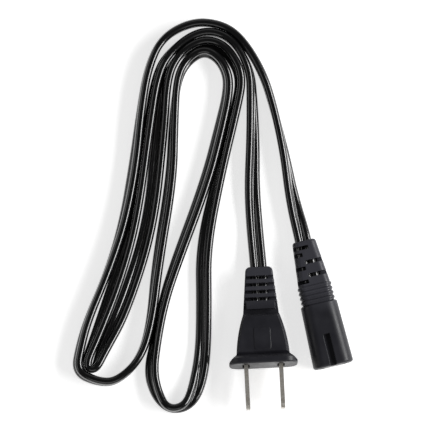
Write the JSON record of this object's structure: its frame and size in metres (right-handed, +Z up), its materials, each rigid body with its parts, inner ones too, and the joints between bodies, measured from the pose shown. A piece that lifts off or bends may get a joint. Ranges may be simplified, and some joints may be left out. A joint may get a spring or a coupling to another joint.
{
  "type": "power cord",
  "caption": "Mains lead with a flat-blade plug, a flat twin cord lying in loose nested loops, and a figure-8 appliance connector with a slotted strain relief.",
  "frame": {"origin": "centre of the laid-out lead's box, on the surface it lies on", "axes": "+Z up from that surface, +Y along the loops away from the plug's blades, +X towards the connector"},
  "size_m": [0.1017, 0.1446, 0.0141],
  "materials": {
    "moulded_pvc": "satin moulded",
    "cord_pvc": "smooth extruded",
    "insert_plastic": "moulded",
    "plated_blade": "dull nickel plate",
    "contact_brass": "drawn",
    "copper_strand": "bare"
  },
  "bodies": {
    "root": {"plug_body": "moulded_pvc", "connector_body": "moulded_pvc", "cord": "cord_pvc", "plug_blade_carrier": "insert_plastic", "connector_contact_carrier": "insert_plastic", "plug_blade_left": "plated_blade", "plug_blade_right": "plated_blade", "contact_sleeve_left": "contact_brass", "contact_sleeve_right": "contact_brass", "plug_conductor_left": "copper_strand", "plug_conductor_right": "copper_strand", "connector_conductor_left": "copper_strand", "connector_conductor_right": "copper_strand"}
  },
  "joints": []
}
